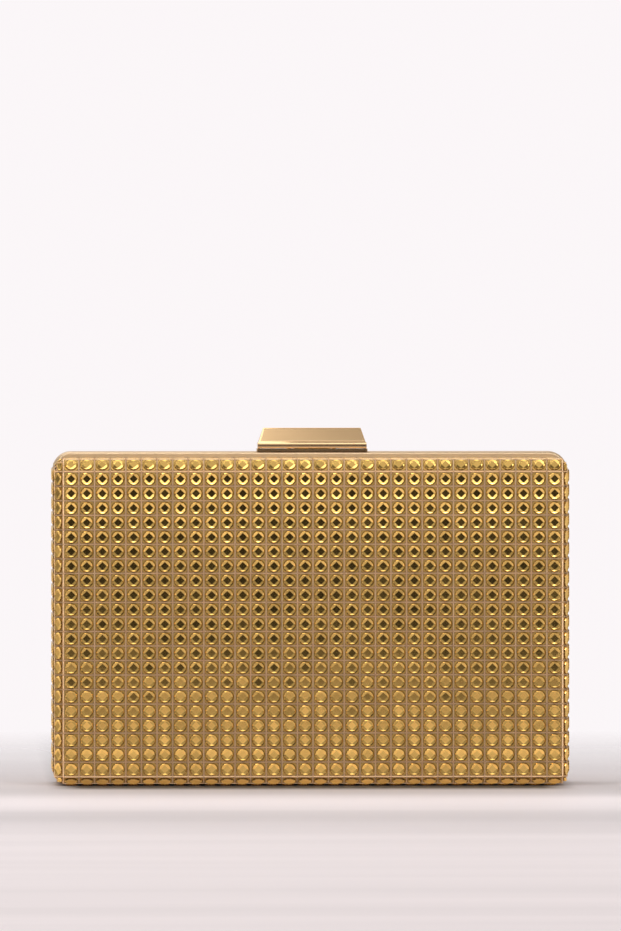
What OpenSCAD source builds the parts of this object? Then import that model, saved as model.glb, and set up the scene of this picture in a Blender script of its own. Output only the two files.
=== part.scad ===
// Hard box clutch with a gold frame, stone-covered shells and a lift-up clasp bar.
// X runs along the width, the front faces -Y, Z is up and the bag stands on Z = 0.
// Each half is drawn on the +Y side of the parting plane, and the front one is mirrored.

/* [Body] */
// Width over the stones
body_w = 180; // [150:1:220]
// Height to the top of the frame
body_h = 116; // [95:1:150]
// Depth of one half, from the parting plane to the face of the stones
half_depth = 23; // [18:0.5:35]
// Clearance between the parting plane and each half
seam_gap = 0.15; // [0.1:0.01:0.3]

/* [Frame] */
// Depth of each frame loop
frame_d = 6; // [5.5:0.1:7.5]
// Thickness of each frame loop
frame_t = 4.8; // [4.4:0.1:5.2]
// Outer corner radius of the frame
frame_corner_r = 6.4; // [6:0.1:8]
// Rounding of the frame's outer edge
frame_round = 0.9; // [0.3:0.1:1.2]
// Height of the frame above the stones on top
frame_rise = 1.5; // [1.2:0.1:1.6]
// Distance that the stones stand proud of the frame at each side
side_proud = 0.3; // [0:0.05:0.5]
// Height of the lowest stones above the surface the bag stands on
foot_gap = 0.1; // [0.05:0.05:0.4]
// Height of the solid bar along the bottom of each frame
bottom_bar_h = 6.6; // [6.3:0.1:8]
// Height of the lip that closes the seam from inside
lip_h = 1.0; // [0.6:0.1:1.4]
// Thickness of that lip
lip_t = 0.9; // [0.6:0.1:1.2]
// Clearance round the lip
lip_clear = 0.15; // [0.1:0.05:0.3]

/* [Shell] */
// Wall of the moulded shell
shell_t = 1.4; // [1:0.1:1.6]
// Rounding of the shell's face edges
shell_edge_r = 3.4; // [3.3:0.05:3.6]
// Corner radius of the shell
shell_corner_r = 5; // [4.9:0.1:5.4]
// Depth that the shell's rim stands in the frame's groove
rim_seat = 2.2; // [1.5:0.1:3]
// Clearance of the rim in its groove
rim_clear = 0.05; // [0.02:0.01:0.1]

/* [Stones] */
// Stones in a row across the face
stone_cols = 32; // [20:1:40]
// Stones in a column down the face
stone_rows = 21; // [14:1:28]
// Stones along the depth of the side walls
side_rows = 3; // [2:1:4]
// Height of a stone above the mesh
stone_h = 1.0; // [0.7:0.05:1.2]
// Thickness of the mesh that carries the stones
mesh_t = 0.4; // [0.3:0.05:0.5]
// Width of the bevel that carries the stones round an edge of the face
stone_bevel = 2.2; // [2:0.05:2.3]
// Width of the bevel that carries the stones round a corner of the outline
corner_bevel = 3.1; // [2.8:0.05:3.1]

/* [Lining] */
// Thickness of the padded lining tray
lining_t = 0.7; // [0.5:0.05:0.9]
// Clearance round the lining
lining_clear = 0.1; // [0.05:0.05:0.3]
// Width of the slip pocket
pocket_w = 124; // [80:1:140]
// Height of the slip pocket
pocket_h = 62; // [40:1:80]
// Thickness of the slip pocket's cloth
pocket_t = 0.7; // [0.5:0.05:1.2]
// Width of the hem round the pocket
pocket_hem = 2.4; // [1.5:0.1:4]

/* [Hinge] */
// Distance of each hinge from the middle over half the body's width
hinge_share = 0.61; // [0.45:0.01:0.66]
// Radius of a hinge knuckle
knuckle_r = 1.3; // [1.1:0.05:1.35]
// Length of one of the three knuckles
knuckle_len = 10; // [7:0.5:12]
// Gap between knuckles
knuckle_gap = 0.2; // [0.1:0.05:0.4]
// Radius of the hinge pin
hinge_pin_r = 0.55; // [0.45:0.05:0.65]
// Radial clearance of a running pin
pin_clear = 0.05; // [0.02:0.01:0.08]
// Thickness of a hinge leaf
leaf_t = 0.8; // [0.6:0.05:0.9]
// Radius of the leaf rivets
leaf_rivet_r = 0.7; // [0.5:0.05:0.8]

/* [Clasp] */
// Width of the clasp bar at its foot
bar_w = 38; // [32:0.5:44]
// Width of the clasp bar at its top
bar_top_w = 34; // [28:0.5:36]
// Depth of the clasp bar at its foot
bar_d = 11.6; // [11.4:0.1:11.8]
// Depth of the clasp bar at its top
bar_top_d = 3.2; // [2.8:0.1:3.6]
// Height of the clasp bar
bar_h = 7.1; // [6.6:0.1:8]
// Height of the upright foot of the clasp bar
bar_foot_h = 1.9; // [1.6:0.1:2]
// Width of the bright bevel round the foot
bar_bevel = 0.4; // [0.2:0.05:0.6]
// Wall of the hollow clasp bar
bar_wall = 0.9; // [0.7:0.05:1]
// Distance of the clasp from the middle of the bag
clasp_x = 0.8; // [-2:0.1:2]
// Thickness of the two base plates under the bar
plate_t = 1.0; // [0.8:0.05:1.1]
// Distance that the base plates stand out past the bar at each end
plate_margin = 0.3; // [0:0.05:0.6]
// Running gap under the bar
bar_clear = 0.1; // [0.08:0.02:0.2]
// Radius of the clasp pin
clasp_pin_r = 0.7; // [0.5:0.05:0.75]
// Distance of the clasp pin behind the parting plane
clasp_pin_y = 3.6; // [3.4:0.1:3.7]
// Height of the clasp pin above the base plate
clasp_pin_z = 1.4; // [1.3:0.05:1.5]
// Width of the latch tongue
tongue_w = 12; // [8:0.5:14]
// Thickness of the latch tongue
tongue_t = 0.8; // [0.6:0.05:0.9]
// Reach of the tongue below the top of the frame
tongue_reach = 3.2; // [2.8:0.1:3.4]

/* [Hidden] */
$fn = 48;
// Overrun of every cut
over = 0.5;

// Frame outline
frame_w = body_w - 2 * side_proud;
frame_in_w = frame_w - 2 * frame_t;
frame_in_h = body_h - 2 * frame_t;
frame_in_r = frame_corner_r - frame_t;

// Mesh and shell outlines, worked inwards from the stones
mesh_w = body_w - 2 * stone_h;
mesh_z0 = foot_gap + stone_h;
mesh_z1 = body_h - frame_rise - stone_h;
mesh_y1 = half_depth - stone_h;
shell_w = mesh_w - 2 * mesh_t;
shell_z0 = mesh_z0 + mesh_t;
shell_z1 = mesh_z1 - mesh_t;
shell_y1 = mesh_y1 - mesh_t;
rim_y = frame_d - rim_seat;

// Share of a stone's cell that its groove takes on each side
groove_share = 0.17;

// Lining outline
lining_w = frame_in_w - 2 * lining_clear;
lining_z0 = bottom_bar_h + lining_clear;
lining_z1 = body_h - frame_t - lining_clear;
lining_r = frame_in_r - lining_clear;
lining_edge_gap = 0.7;
lining_edge_r = min(0.9 * lining_r, shell_edge_r - shell_t - lining_edge_gap);
lining_y0 = lip_h + 2 * lip_clear;
lining_y1 = shell_y1 - shell_t - lining_clear;
pocket_z = lining_z0 + lining_t + pocket_hem;
pocket_y = lining_y1 - lining_t - lining_clear;
pocket_gap = pocket_t;

// Hinge places, their axis, and the groove round the knuckles
hinge_x = hinge_share * body_w / 2;
axis_z = knuckle_r + seam_gap;
cove_r = knuckle_r + 2 * seam_gap;
hinge_len = 3 * knuckle_len;
leaf_top = bottom_bar_h - 2 * seam_gap;
leaf_clear = 0.05;
leaf_rivet_z = (axis_z + cove_r + leaf_top) / 2;
leaf_rivet_reach = frame_d * 0.6;
rivet_head_t = leaf_t * 0.5;
rivet_head_r = leaf_rivet_r * 1.5;

// Clasp heights and places
plate_z1 = body_h + plate_t;
plate_w = bar_w + 2 * plate_margin;
bar_z0 = plate_z1 + bar_clear;
bar_half_d = bar_d / 2;
pin_z = plate_z1 + clasp_pin_z;
ear_t = 1.2;
ear_x = tongue_w / 2 + ear_t;
ear_r = clasp_pin_r + 0.55;
lug_t = 1.4;
lug_gap = 0.2;
lug_x = ear_x + ear_t + lug_gap;
lug_r = clasp_pin_r + 0.6;
heel_y = clasp_pin_y + 4 * bar_clear;
heel_slope = 0.45;
heel_lift = clasp_pin_z - bar_clear;
tongue_y = -2.7;
notch_y = 4.9;
notch_side = 0.5;
notch_w = tongue_w + 2 * notch_side;
tongue_z0 = body_h - tongue_reach;
tongue_nose = 0.35;
catch_t = 0.35;
catch_h = 1.8;
catch_y = 1.45;
catch_end = 3;
catch_z0 = tongue_z0 + 0.2;
catch_rivet_r = 0.5;
plate_rivet_r = 0.8;
plate_rivet_x = bar_w * 0.36;
plate_rivet_drop = 2.4;
tongue_foot_d = 3;
tongue_foot_t = 0.8;
tongue_rivet_r = 0.6;
tongue_rivet_x = tongue_w * 0.3;
spring_t = 0.25;
spring_w = 7;

module rounded_rect(w, h, r) {
    square([w - 2 * r, h], center = true);
    square([w, h - 2 * r], center = true);
    for (sx = [-1, 1], sz = [-1, 1])
        translate([sx * (w / 2 - r), sz * (h / 2 - r)])
            circle(r);
}

// Upright plate of the outline's shape between two depths
module plate_xz(w, z0, z1, r, y0, y1) {
    translate([0, y1, (z0 + z1) / 2])
        rotate([90, 0, 0])
            linear_extrude(y1 - y0)
                rounded_rect(w, z1 - z0, r);
}

// Profile swept round a rounded rectangle: its x is measured outwards from the corner's
// centre, and its y is the depth
module loop(w, z0, z1, r) {
    cx = w / 2 - r;
    zb = z0 + r;
    zt = z1 - r;
    translate([cx, 0, zb]) linear_extrude(zt - zb) children();
    translate([-cx, 0, zt]) rotate([0, 180, 0]) linear_extrude(zt - zb) children();
    translate([cx, 0, zt]) rotate([0, -90, 0]) linear_extrude(2 * cx) children();
    translate([-cx, 0, zb]) rotate([0, 90, 0]) linear_extrude(2 * cx) children();
    translate([cx, 0, zb]) rotate([-90, 0, 0]) rotate_extrude(angle = 90) children();
    translate([-cx, 0, zb]) rotate([0, 90, 0]) rotate([-90, 0, 0]) rotate_extrude(angle = 90) children();
    translate([-cx, 0, zt]) rotate([0, 180, 0]) rotate([-90, 0, 0]) rotate_extrude(angle = 90) children();
    translate([cx, 0, zt]) rotate([0, 270, 0]) rotate([-90, 0, 0]) rotate_extrude(angle = 90) children();
}

// Solid box with rounded corners and a rounded far face
module rounded_block(w, z0, z1, r, y0, y1, er) {
    loop(w, z0, z1, r) {
        translate([0, y0]) square([r, y1 - er - y0]);
        translate([0, y0]) square([r - er, y1 - y0]);
        intersection() {
            translate([r - er, y1 - er]) circle(er);
            translate([r - er, y1 - er]) square([er, er]);
        }
    }
    translate([-(w / 2 - r), y0, z0 + r])
        cube([w - 2 * r, y1 - y0, z1 - z0 - 2 * r]);
}

module tray(w, z0, z1, r, y0, y1, er, t) {
    difference() {
        rounded_block(w, z0, z1, r, y0, y1, er);
        rounded_block(w - 2 * t, z0 + t, z1 - t, r - t, y0 - over, y1 - t, er - t);
    }
}

module front_side() {
    mirror([0, 1, 0]) children();
}

// Frame of one half
module frame_profile() {
    inner = frame_corner_r - frame_t;
    difference() {
        translate([inner, seam_gap]) square([frame_t, frame_d - seam_gap]);
        translate([frame_corner_r - frame_round, frame_d - frame_round])
            difference() {
                square([frame_round + over, frame_round + over]);
                circle(frame_round);
            }
    }
}

module rim_groove() {
    difference() {
        plate_xz(shell_w + 2 * rim_clear, shell_z0 - rim_clear, shell_z1 + rim_clear,
            shell_corner_r + rim_clear, rim_y - rim_clear, frame_d + over);
        plate_xz(shell_w - 2 * shell_t - 2 * rim_clear, shell_z0 + shell_t + rim_clear,
            shell_z1 - shell_t - rim_clear, shell_corner_r - shell_t - rim_clear,
            rim_y - over, frame_d + 2 * over);
    }
}

// Wedge off the bottom seam edge, so that the halves can open about the hinge axis
module seam_wedge() {
    rotate([90, 0, 90])
        translate([0, 0, -body_w / 2 - over])
            linear_extrude(body_w + 2 * over)
                polygon([[-over, axis_z], [seam_gap, axis_z],
                    [seam_gap + axis_z + over, -over], [-over, -over]]);
}

module hinge_cove(side) {
    translate([side * hinge_x - hinge_len / 2 - knuckle_gap, 0, axis_z])
        rotate([0, 90, 0])
            cylinder(r = cove_r, h = hinge_len + 2 * knuckle_gap);
}

// Recess for a leaf in the parting face
module leaf_pocket(side) {
    translate([side * hinge_x - hinge_len / 2 - leaf_clear, -over, axis_z])
        cube([hinge_len + 2 * leaf_clear, seam_gap + leaf_t + leaf_clear + over,
            leaf_top + leaf_clear - axis_z]);
}

function leaf_rivet_places() = [for (side = [-1, 1], k = [-1, 1]) side * hinge_x + k * knuckle_len];

module along_y(r, y0, y1) {
    translate([0, y1, 0]) rotate([90, 0, 0]) cylinder(r = r, h = y1 - y0);
}

module lip_run(clear, y0, y1) {
    r0 = frame_in_r;
    side_z = body_h / 3;
    intersection() {
        difference() {
            plate_xz(frame_in_w + 2 * lip_t + 2 * clear, frame_t - lip_t - clear,
                body_h - frame_t + lip_t + clear, r0 + lip_t + clear, y0, y1);
            plate_xz(frame_in_w, frame_t, body_h - frame_t, r0, y0 - over, y1 + over);
        }
        translate([-body_w / 2, y0 - over, side_z])
            cube([body_w, y1 - y0 + 2 * over, body_h - side_z]);
    }
}

module half_frame() {
    difference() {
        union() {
            loop(frame_w, 0, body_h, frame_corner_r) frame_profile();
            translate([-frame_in_w / 2 - frame_t / 2, seam_gap, frame_t / 2])
                cube([frame_in_w + frame_t, frame_d - seam_gap, bottom_bar_h - frame_t / 2]);
        }
        rim_groove();
        seam_wedge();
        for (side = [-1, 1]) {
            hinge_cove(side);
            leaf_pocket(side);
        }
        for (x = leaf_rivet_places())
            translate([x, 0, leaf_rivet_z])
                along_y(leaf_rivet_r + leaf_clear, -over, leaf_rivet_reach);
        for (sx = [-1, 1])
            translate([clasp_x + sx * plate_rivet_x, frame_d / 2, body_h - plate_rivet_drop])
                cylinder(r = plate_rivet_r + leaf_clear, h = plate_rivet_drop + over);
    }
}

module rear_frame() {
    color("darkgoldenrod") {
        half_frame();
        lip_run(0, -lip_h, seam_gap);
    }
}

module front_frame() {
    color("darkgoldenrod")
        difference() {
            front_side() half_frame();
            lip_run(lip_clear, -lip_h - lip_clear, over);
            latch_notch(tongue_z0 - plate_t);
            catch_seat();
        }
}

// Notch for the tongue, open towards the rear half
module latch_notch(z0) {
    translate([clasp_x - notch_w / 2, -notch_y, z0])
        cube([notch_w, notch_y + over, plate_z1 + over - z0]);
}

module catch_seat() {
    seat_w = notch_w + 2 * catch_end + 2 * leaf_clear;
    translate([clasp_x - seat_w / 2, -catch_y - catch_t - leaf_clear, catch_z0 - leaf_clear])
        cube([seat_w, catch_y + catch_t + leaf_clear + over, catch_h + 2 * leaf_clear]);
    for (sx = [-1, 1])
        translate([clasp_x + sx * (notch_w + catch_end) / 2, 0, catch_z0 + catch_h / 2])
            along_y(catch_rivet_r + leaf_clear, -catch_y - 2 * catch_end / 2, over);
}

// Moulded shells
module half_shell() {
    tray(shell_w, shell_z0, shell_z1, shell_corner_r, rim_y, shell_y1, shell_edge_r, shell_t);
}

module rear_shell() {
    color("tan") half_shell();
}

module front_shell() {
    color("tan") front_side() half_shell();
}

// Stone-covered mesh: three outlines, each with a groove between every two stones, are
// crossed, so that each face and each edge bevel carries its own grid of cut stones
function cells(a, b, n, out) = [
    for (i = [0:n - 1]) each [
        a + (b - a) * i / n,
        a + (b - a) * (i + groove_share) / n + out * stone_h,
        a + (b - a) * (i + 1 - groove_share) / n + out * stone_h]];

function half_ring(s0, s1, y1, n) = let (c = stone_bevel, k = sqrt(0.5)) concat(
    cells([s0, frame_d], [s0, y1 - c], side_rows, [-1, 0]),
    cells([s0, y1 - c], [s0 + c, y1], 1, [-k, k]),
    cells([s0 + c, y1], [s1 - c, y1], n, [0, 1]),
    cells([s1 - c, y1], [s1, y1 - c], 1, [k, k]),
    cells([s1, y1 - c], [s1, frame_d], side_rows, [1, 0]),
    [[s1, frame_d]]);

function face_ring(x0, x1, z0, z1) = let (c = corner_bevel, k = sqrt(0.5)) concat(
    cells([x0, z0 + c], [x0, z1 - c], stone_rows, [-1, 0]),
    cells([x0, z1 - c], [x0 + c, z1], 1, [-k, k]),
    cells([x0 + c, z1], [x1 - c, z1], stone_cols, [0, 1]),
    cells([x1 - c, z1], [x1, z1 - c], 1, [k, k]),
    cells([x1, z1 - c], [x1, z0 + c], stone_rows, [1, 0]),
    cells([x1, z0 + c], [x1 - c, z0], 1, [k, -k]),
    cells([x1 - c, z0], [x0 + c, z0], stone_cols, [0, -1]),
    cells([x0 + c, z0], [x0, z0 + c], 1, [-k, -k]));

module stone_block() {
    s = mesh_w / 2;
    deep = half_depth + over;
    intersection() {
        translate([0, 0, -over])
            linear_extrude(body_h + 2 * over)
                polygon(half_ring(-s, s, mesh_y1, stone_cols));
        translate([-body_w / 2 - over, 0, 0])
            rotate([90, 0, 90])
                linear_extrude(body_w + 2 * over)
                    polygon([for (p = half_ring(mesh_z0, mesh_z1, mesh_y1, stone_rows)) [p[1], p[0]]]);
        translate([0, deep, 0])
            rotate([90, 0, 0])
                linear_extrude(deep)
                    polygon(face_ring(-s, s, mesh_z0, mesh_z1));
    }
}

module half_cover() {
    difference() {
        stone_block();
        rounded_block(shell_w, shell_z0, shell_z1, shell_corner_r, frame_d - over, shell_y1, shell_edge_r);
    }
}

module rear_stone_cover() {
    color("gold") half_cover();
}

module front_stone_cover() {
    color("gold") front_side() half_cover();
}

// Linings and the slip pocket
module half_lining() {
    tray(lining_w, lining_z0, lining_z1, lining_r, lining_y0, lining_y1, lining_edge_r, lining_t);
}

module rear_lining() {
    color("wheat") half_lining();
}

module front_lining() {
    color("wheat") front_side() half_lining();
}

module slip_pocket() {
    z1 = pocket_z + pocket_h;
    front = pocket_y - 2 * pocket_t - pocket_gap;
    color("wheat") {
        difference() {
            plate_xz(pocket_w, pocket_z, z1, pocket_hem, front, pocket_y);
            plate_xz(pocket_w - 2 * pocket_hem, pocket_z + pocket_hem, z1 + pocket_hem + over,
                pocket_hem / 2, front + pocket_t, pocket_y - pocket_t);
        }
        translate([0, front, z1 - pocket_hem / 2])
            rotate([0, 90, 0])
                cylinder(r = pocket_t, h = pocket_w - 2 * pocket_hem, center = true);
    }
}

// Hinges: rear leaves carry the two outer knuckles, front leaves the middle one
module leaf(side, stations) {
    x0 = side * hinge_x;
    difference() {
        union() {
            translate([x0 - hinge_len / 2, seam_gap, axis_z])
                cube([hinge_len, leaf_t, leaf_top - axis_z]);
            for (k = stations)
                translate([x0 + k * knuckle_len, 0, axis_z])
                    rotate([0, 90, 0])
                        cylinder(r = knuckle_r, h = knuckle_len - knuckle_gap, center = true);
        }
        for (k = [-1:1])
            if (len(search(k, stations)) == 0)
                translate([x0 + k * knuckle_len, 0, axis_z])
                    rotate([0, 90, 0])
                        cylinder(r = cove_r, h = knuckle_len + knuckle_gap, center = true);
        translate([x0, 0, axis_z])
            rotate([0, 90, 0])
                cylinder(r = hinge_pin_r + pin_clear, h = hinge_len + 2 * over, center = true);
        for (k = [-1, 1])
            translate([x0 + k * knuckle_len, 0, leaf_rivet_z]) {
                along_y(leaf_rivet_r + leaf_clear, -over, leaf_t + 2 * over);
                along_y(rivet_head_r + leaf_clear, -over, seam_gap + rivet_head_t);
            }
    }
}

module left_hinge_rear_leaf() {
    color("goldenrod") leaf(-1, [-1, 1]);
}

module right_hinge_rear_leaf() {
    color("goldenrod") leaf(1, [-1, 1]);
}

module left_hinge_front_leaf() {
    color("goldenrod") front_side() leaf(-1, [0]);
}

module right_hinge_front_leaf() {
    color("goldenrod") front_side() leaf(1, [0]);
}

module hinge_pin(side) {
    translate([side * hinge_x, 0, axis_z])
        rotate([0, 90, 0])
            cylinder(r = hinge_pin_r, h = hinge_len, center = true);
}

module left_hinge_pin() {
    color("silver") hinge_pin(-1);
}

module right_hinge_pin() {
    color("silver") hinge_pin(1);
}

module half_hinge_rivets() {
    for (x = leaf_rivet_places())
        translate([x, 0, leaf_rivet_z]) {
            along_y(rivet_head_r, seam_gap, seam_gap + rivet_head_t);
            along_y(leaf_rivet_r, seam_gap, leaf_rivet_reach - leaf_clear);
        }
}

module rear_hinge_rivets() {
    color("darkgoldenrod") half_hinge_rivets();
}

module front_hinge_rivets() {
    color("darkgoldenrod") front_side() half_hinge_rivets();
}

// Clasp
module half_plate() {
    round_r = plate_t / 2;
    difference() {
        translate([clasp_x, 0, body_h])
            intersection() {
                linear_extrude(plate_t)
                    translate([0, (seam_gap + frame_d) / 2])
                        square([plate_w, frame_d - seam_gap], center = true);
                linear_extrude(plate_t)
                    translate([0, frame_d / 2 - round_r])
                        rounded_rect(plate_w, frame_d + 2 * round_r, round_r);
            }
        for (sx = [-1, 1])
            translate([clasp_x + sx * plate_rivet_x, frame_d / 2, body_h - over])
                cylinder(r = plate_rivet_r + leaf_clear, h = plate_t + 2 * over);
    }
}

module half_plate_rivets() {
    for (sx = [-1, 1])
        translate([clasp_x + sx * plate_rivet_x, frame_d / 2, body_h - plate_rivet_drop + leaf_clear])
            cylinder(r = plate_rivet_r, h = plate_rivet_drop + plate_t - leaf_clear);
}

module ear(x) {
    translate([x, clasp_pin_y, pin_z]) rotate([0, 90, 0]) cylinder(r = ear_r, h = ear_t);
    translate([x, clasp_pin_y - ear_r, plate_z1 - plate_t / 2])
        cube([ear_t, 2 * ear_r, clasp_pin_z + plate_t / 2]);
}

module clasp_rear_plate() {
    color("goldenrod")
        difference() {
            union() {
                half_plate();
                ear(clasp_x - ear_x - ear_t);
                ear(clasp_x + ear_x);
            }
            translate([clasp_x, clasp_pin_y, pin_z])
                rotate([0, 90, 0])
                    cylinder(r = clasp_pin_r, h = 2 * (ear_x + ear_t + over), center = true);
        }
}

module clasp_rear_rivets() {
    color("darkgoldenrod") half_plate_rivets();
}

module clasp_front_plate() {
    color("goldenrod")
        difference() {
            front_side() half_plate();
            latch_notch(body_h - over);
        }
}

module clasp_front_rivets() {
    color("darkgoldenrod") front_side() half_plate_rivets();
}

module clasp_pin() {
    color("silver")
        translate([clasp_x, clasp_pin_y, pin_z])
            rotate([0, 90, 0])
                cylinder(r = clasp_pin_r, h = 2 * (lug_x + lug_t), center = true);
}

// Side view and front view of the bar, drawn in by an inset for its hollow
function bar_side(inset) = let (b = bar_half_d - inset, t = bar_top_d / 2 - inset / 2) [
    [-b, -over], [-b, bar_foot_h], [-b + bar_bevel, bar_foot_h + bar_bevel],
    [-t, bar_h - inset], [t, bar_h - inset], [b - bar_bevel, bar_foot_h + bar_bevel],
    [b, bar_foot_h], [b, -over]];

function bar_front(inset) = let (b = bar_w / 2 - inset, t = bar_top_w / 2 - inset) [
    [-b, -over], [-b, bar_foot_h], [-b + bar_bevel, bar_foot_h + bar_bevel],
    [-t, bar_h - inset], [t, bar_h - inset], [b - bar_bevel, bar_foot_h + bar_bevel],
    [b, bar_foot_h], [b, -over]];

module bar_solid(inset) {
    intersection() {
        translate([-bar_w, 0, 0])
            rotate([90, 0, 90])
                linear_extrude(2 * bar_w) polygon(bar_side(inset));
        translate([0, bar_d, 0])
            rotate([90, 0, 0])
                linear_extrude(2 * bar_d) polygon(bar_front(inset));
    }
}

module lug(x) {
    translate([x, clasp_pin_y, pin_z - bar_z0]) rotate([0, 90, 0]) cylinder(r = lug_r, h = lug_t);
    translate([x, clasp_pin_y - lug_r, pin_z - bar_z0]) cube([lug_t, 2 * lug_r, bar_h / 2]);
}

module clasp_bar() {
    foot = over + bar_clear;
    color("burlywood")
        translate([clasp_x, 0, bar_z0])
            difference() {
                intersection() {
                    union() {
                        difference() {
                            bar_solid(0);
                            bar_solid(bar_wall);
                        }
                        lug(lug_x);
                        lug(-lug_x - lug_t);
                    }
                    bar_solid(0);
                }
                translate([-bar_w, -bar_d, -foot]) cube([2 * bar_w, 2 * bar_d, foot]);
                translate([-bar_w, 0, 0])
                    rotate([90, 0, 90])
                        linear_extrude(2 * bar_w)
                            polygon([[heel_y - over, -heel_slope * over], [bar_d, -heel_slope * over],
                                [bar_d, heel_lift], [clasp_pin_y + lug_r, heel_lift],
                                [clasp_pin_y + lug_r, heel_slope * (clasp_pin_y + lug_r - heel_y)]]);
                translate([0, clasp_pin_y, pin_z - bar_z0])
                    rotate([0, 90, 0])
                        cylinder(r = clasp_pin_r + pin_clear, h = 2 * (lug_x + lug_t + over), center = true);
            }
}

module clasp_tongue() {
    half_t = tongue_t / 2;
    top = bar_z0 + bar_h - bar_wall;
    foot_z = top - tongue_foot_t;
    color("silver")
        difference() {
            translate([clasp_x - tongue_w / 2, 0, 0])
                rotate([90, 0, 90])
                    linear_extrude(tongue_w)
                        polygon([[tongue_y - half_t, tongue_z0 + half_t],
                            [tongue_y, tongue_z0],
                            [tongue_y + half_t, tongue_z0],
                            [tongue_y + half_t + tongue_nose, tongue_z0 + half_t],
                            [tongue_y + half_t + tongue_nose, tongue_z0 + tongue_t],
                            [tongue_y + half_t, tongue_z0 + 2 * tongue_t],
                            [tongue_y + half_t, foot_z - tongue_foot_d / 2],
                            [tongue_foot_d / 4, foot_z],
                            [tongue_foot_d / 4, top],
                            [-tongue_foot_d / 4, top],
                            [tongue_y - half_t, foot_z - tongue_foot_d / 2]]);
            for (sx = [-1, 1])
                translate([clasp_x + sx * tongue_rivet_x, 0, foot_z - over])
                    cylinder(r = tongue_rivet_r, h = tongue_foot_t + 2 * over);
        }
}

module tongue_rivets() {
    top = bar_z0 + bar_h - bar_wall;
    color("darkgoldenrod")
        for (sx = [-1, 1])
            translate([clasp_x + sx * tongue_rivet_x, 0, top - tongue_foot_t - tongue_rivet_r / 2])
                cylinder(r = tongue_rivet_r, h = tongue_foot_t + tongue_rivet_r / 2);
}

// Leaf that pushes the heel of the bar up, and so its front edge down
module clasp_spring() {
    z = plate_z1;
    tip_y = clasp_pin_y + ear_r * 0.5;
    tip_z = pin_z + clasp_pin_r + spring_t;
    back_y = bar_half_d - bar_wall;
    front_y = clasp_pin_y - clasp_pin_r - 3 * spring_t;
    color("silver")
        translate([clasp_x - spring_w / 2, 0, 0])
            rotate([90, 0, 90])
                linear_extrude(spring_w)
                    polygon([[back_y, z], [back_y, z + spring_t], [front_y + 2 * spring_t, z + spring_t],
                        [front_y + spring_t, z + 2 * spring_t], [front_y + spring_t, tip_z - spring_t],
                        [tip_y, tip_z], [tip_y, tip_z + spring_t], [front_y + spring_t, tip_z],
                        [front_y, tip_z - spring_t], [front_y, z + spring_t],
                        [front_y + spring_t, z]]);
}

// Leaf across the notch that the tongue's nose snaps behind
module catch_spring() {
    w = notch_w + 2 * catch_end;
    color("silver")
        difference() {
            translate([clasp_x - w / 2, -catch_y - catch_t, catch_z0])
                cube([w, catch_t, catch_h]);
            for (sx = [-1, 1])
                translate([clasp_x + sx * (notch_w + catch_end) / 2, 0, catch_z0 + catch_h / 2])
                    along_y(catch_rivet_r, -catch_y - catch_end, over);
        }
}

module catch_rivets() {
    head = catch_t;
    color("darkgoldenrod")
        for (sx = [-1, 1])
            translate([clasp_x + sx * (notch_w + catch_end) / 2, 0, catch_z0 + catch_h / 2]) {
                along_y(catch_rivet_r, -catch_y - catch_end + leaf_clear, -catch_y);
                along_y(catch_rivet_r * 1.6, -catch_y, -catch_y + head);
            }
}

rear_frame();
rear_shell();
rear_stone_cover();
rear_lining();
slip_pocket();
left_hinge_rear_leaf();
right_hinge_rear_leaf();
left_hinge_pin();
right_hinge_pin();
rear_hinge_rivets();
clasp_rear_plate();
clasp_rear_rivets();
clasp_pin();
clasp_spring();
front_frame();
front_shell();
front_stone_cover();
front_lining();
left_hinge_front_leaf();
right_hinge_front_leaf();
front_hinge_rivets();
clasp_front_plate();
clasp_front_rivets();
catch_spring();
catch_rivets();
clasp_bar();
clasp_tongue();
tongue_rivets();
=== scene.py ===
"""Looks of a hard box clutch with cut gold stones, a champagne-gold frame and a clasp bar."""

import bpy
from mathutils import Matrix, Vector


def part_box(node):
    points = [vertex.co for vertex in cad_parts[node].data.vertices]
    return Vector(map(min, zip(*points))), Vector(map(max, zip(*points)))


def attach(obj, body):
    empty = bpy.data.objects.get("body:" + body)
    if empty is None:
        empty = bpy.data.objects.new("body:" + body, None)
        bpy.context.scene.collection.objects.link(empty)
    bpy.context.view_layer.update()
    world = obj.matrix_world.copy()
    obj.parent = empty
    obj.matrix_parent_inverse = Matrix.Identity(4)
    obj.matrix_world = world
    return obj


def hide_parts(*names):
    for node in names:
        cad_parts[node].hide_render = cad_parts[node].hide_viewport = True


bl_info = {
    "name": "Stone Box Clutch",
    "version": (1, 0, 0),
    "blender": (4, 5, 0),
    "location": "View3D > Sidebar > Box Clutch",
    "description": "Dresses a packed hard box clutch in stones, gold and satin",
    "category": "Object",
}

import math
import random

import bpy
from bpy.props import FloatProperty, FloatVectorProperty, IntProperty, PointerProperty
from mathutils import Matrix, Vector

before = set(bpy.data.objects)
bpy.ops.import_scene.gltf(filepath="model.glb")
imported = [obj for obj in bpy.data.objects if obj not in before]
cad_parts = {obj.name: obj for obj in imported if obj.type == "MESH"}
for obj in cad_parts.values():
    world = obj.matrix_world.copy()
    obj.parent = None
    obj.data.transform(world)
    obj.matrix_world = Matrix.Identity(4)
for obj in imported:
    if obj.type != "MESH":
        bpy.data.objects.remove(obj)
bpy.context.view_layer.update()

MM = 0.001
HALVES = {"front": -1, "rear": 1}
# A normal's share along an axis, past which its face counts as facing that way
FACING = 0.9

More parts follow.
